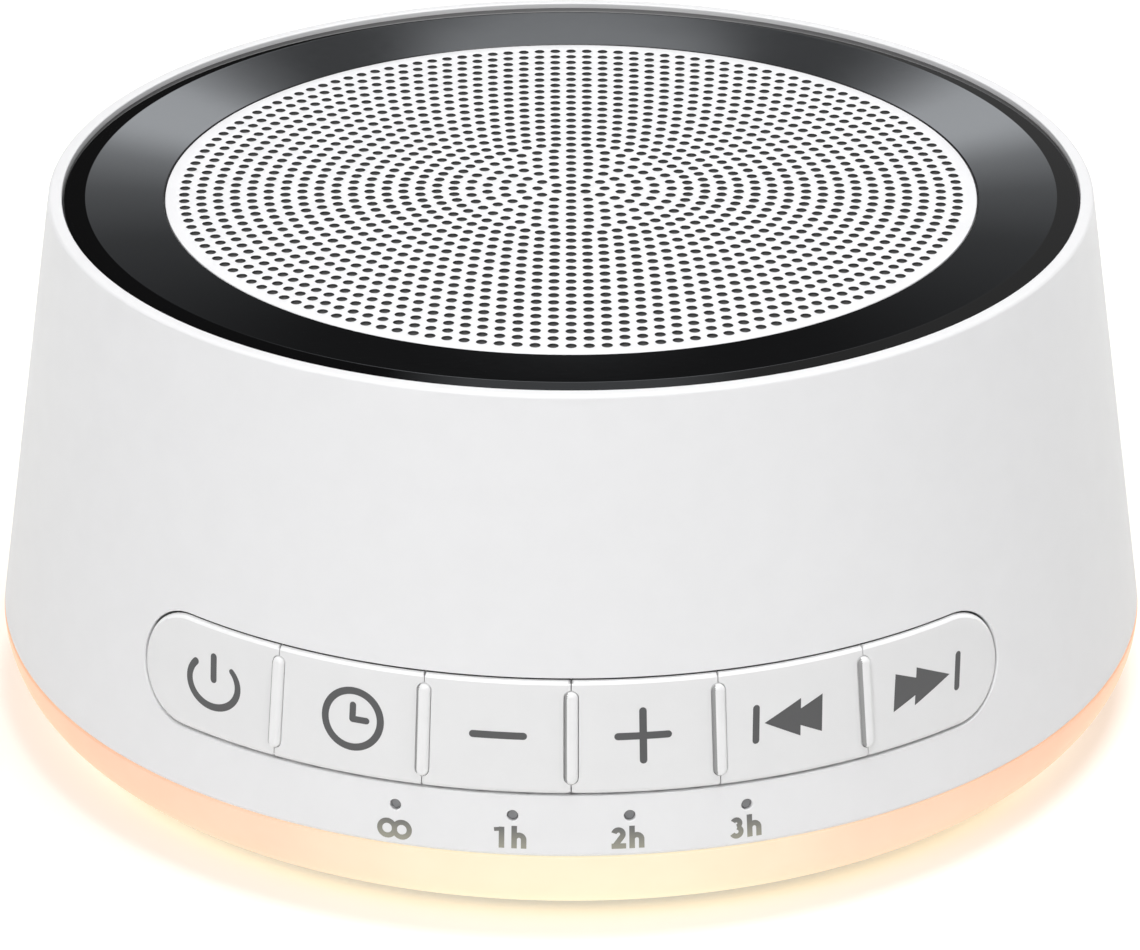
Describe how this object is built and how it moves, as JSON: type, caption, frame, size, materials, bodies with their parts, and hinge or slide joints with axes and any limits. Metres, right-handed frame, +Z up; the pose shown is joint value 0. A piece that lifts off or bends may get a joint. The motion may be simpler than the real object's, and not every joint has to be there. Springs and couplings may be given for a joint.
{
  "type": "white noise sound machine",
  "caption": "Round tapered sound machine with a perforated top grille, gloss ring, front key strip with travelling keys and a glowing ring round its foot.",
  "frame": {"origin": "on the table under the centre of the round body", "axes": "+Z up out of the grille, -Y out of the key strip, +X to the right of someone facing the keys"},
  "size_m": [0.11, 0.11, 0.05],
  "materials": {
    "shell_white": "satin moulded plastic",
    "gloss_black": "high-gloss moulded plastic",
    "grille_white": "satin perforated plastic",
    "cloth_grey": "fine acoustic cloth",
    "foam_black": "closed-cell foam",
    "pressed_steel": "black coated steel",
    "surround_rubber": "soft rubber",
    "cone_paper": "pressed black paper",
    "spider_cloth": "resin-treated cloth",
    "former_tan": "coil former film",
    "copper_wire": "enamelled copper wire",
    "plated_steel": "plated steel",
    "ferrite_dark": "sintered ferrite",
    "screw_steel": "plated steel",
    "board_tan": "phenolic board",
    "key_white": "satin moulded plastic",
    "plunger_grey": "moulded plastic",
    "switch_black": "moulded plastic",
    "flex_amber": "polyimide film",
    "inner_grey": "moulded plastic",
    "pipe_clear": "frosted clear plastic",
    "led_body": "light emitting diode",
    "light_diffuser": "milky translucent plastic",
    "base_white": "fine-textured moulded plastic",
    "foot_rubber": "soft rubber",
    "board_white": "white solder mask",
    "board_green": "green solder mask",
    "chip_black": "moulded epoxy",
    "capacitor_sleeve": "printed sleeve",
    "connector_cream": "moulded nylon",
    "lead_red": "insulated wire"
  },
  "bodies": {
    "root": {"upper_shell": "shell_white", "bezel_ring": "gloss_black", "speaker_grille": "grille_white", "grille_cloth": "cloth_grey", "speaker_gasket": "foam_black", "speaker_frame": "pressed_steel", "cone_surround": "surround_rubber", "speaker_cone": "cone_paper", "dust_cap": "cone_paper", "spider": "spider_cloth", "coil_former": "former_tan", "voice_coil": "copper_wire", "magnet_top_plate": "plated_steel", "speaker_magnet": "ferrite_dark", "pole_yoke": "plated_steel", "speaker_screws": "screw_steel", "speaker_terminals": "board_tan", "key_frame": "key_white", "key_switches": "switch_black", "key_flex": "flex_amber", "key_bracket": "inner_grey", "light_pipes": "pipe_clear", "indicator_leds": "led_body", "light_ring": "light_diffuser", "base_cover": "base_white", "feet": "foot_rubber", "base_screws": "screw_steel", "light_board": "board_white", "light_leds": "led_body", "main_board": "board_green", "board_screws": "screw_steel", "board_chips": "chip_black", "board_capacitors": "capacitor_sleeve", "board_connectors": "connector_cream", "speaker_leads": "lead_red", "power_socket": "plated_steel", "socket_tongue": "switch_black"},
    "power_key": {"key_power": "key_white", "key_power_plunger": "plunger_grey"},
    "timer_key": {"key_timer": "key_white", "key_timer_plunger": "plunger_grey"},
    "volume_down_key": {"key_volume_down": "key_white", "key_volume_down_plunger": "plunger_grey"},
    "volume_up_key": {"key_volume_up": "key_white", "key_volume_up_plunger": "plunger_grey"},
    "previous_key": {"key_previous": "key_white", "key_previous_plunger": "plunger_grey"},
    "next_key": {"key_next": "key_white", "key_next_plunger": "plunger_grey"}
  },
  "joints": [
    {"name": "power_press", "type": "slide", "parent": "root", "child": "power_key", "axis": [0.5887, 0.7955, -0.1434], "range_m": [0, 0.0003], "stiffness_N_per_m": 4000},
    {"name": "timer_press", "type": "slide", "parent": "root", "child": "timer_key", "axis": [0.3547, 0.9239, -0.1434], "range_m": [0, 0.0003], "stiffness_N_per_m": 4000},
    {"name": "volume_down_press", "type": "slide", "parent": "root", "child": "volume_down_key", "axis": [0.118, 0.9826, -0.1434], "range_m": [0, 0.0003], "stiffness_N_per_m": 4000},
    {"name": "volume_up_press", "type": "slide", "parent": "root", "child": "volume_up_key", "axis": [-0.118, 0.9826, -0.1434], "range_m": [0, 0.0003], "stiffness_N_per_m": 4000},
    {"name": "previous_press", "type": "slide", "parent": "root", "child": "previous_key", "axis": [-0.3547, 0.9239, -0.1434], "range_m": [0, 0.0003], "stiffness_N_per_m": 4000},
    {"name": "next_press", "type": "slide", "parent": "root", "child": "next_key", "axis": [-0.5887, 0.7955, -0.1434], "range_m": [0, 0.0003], "stiffness_N_per_m": 4000}
  ]
}
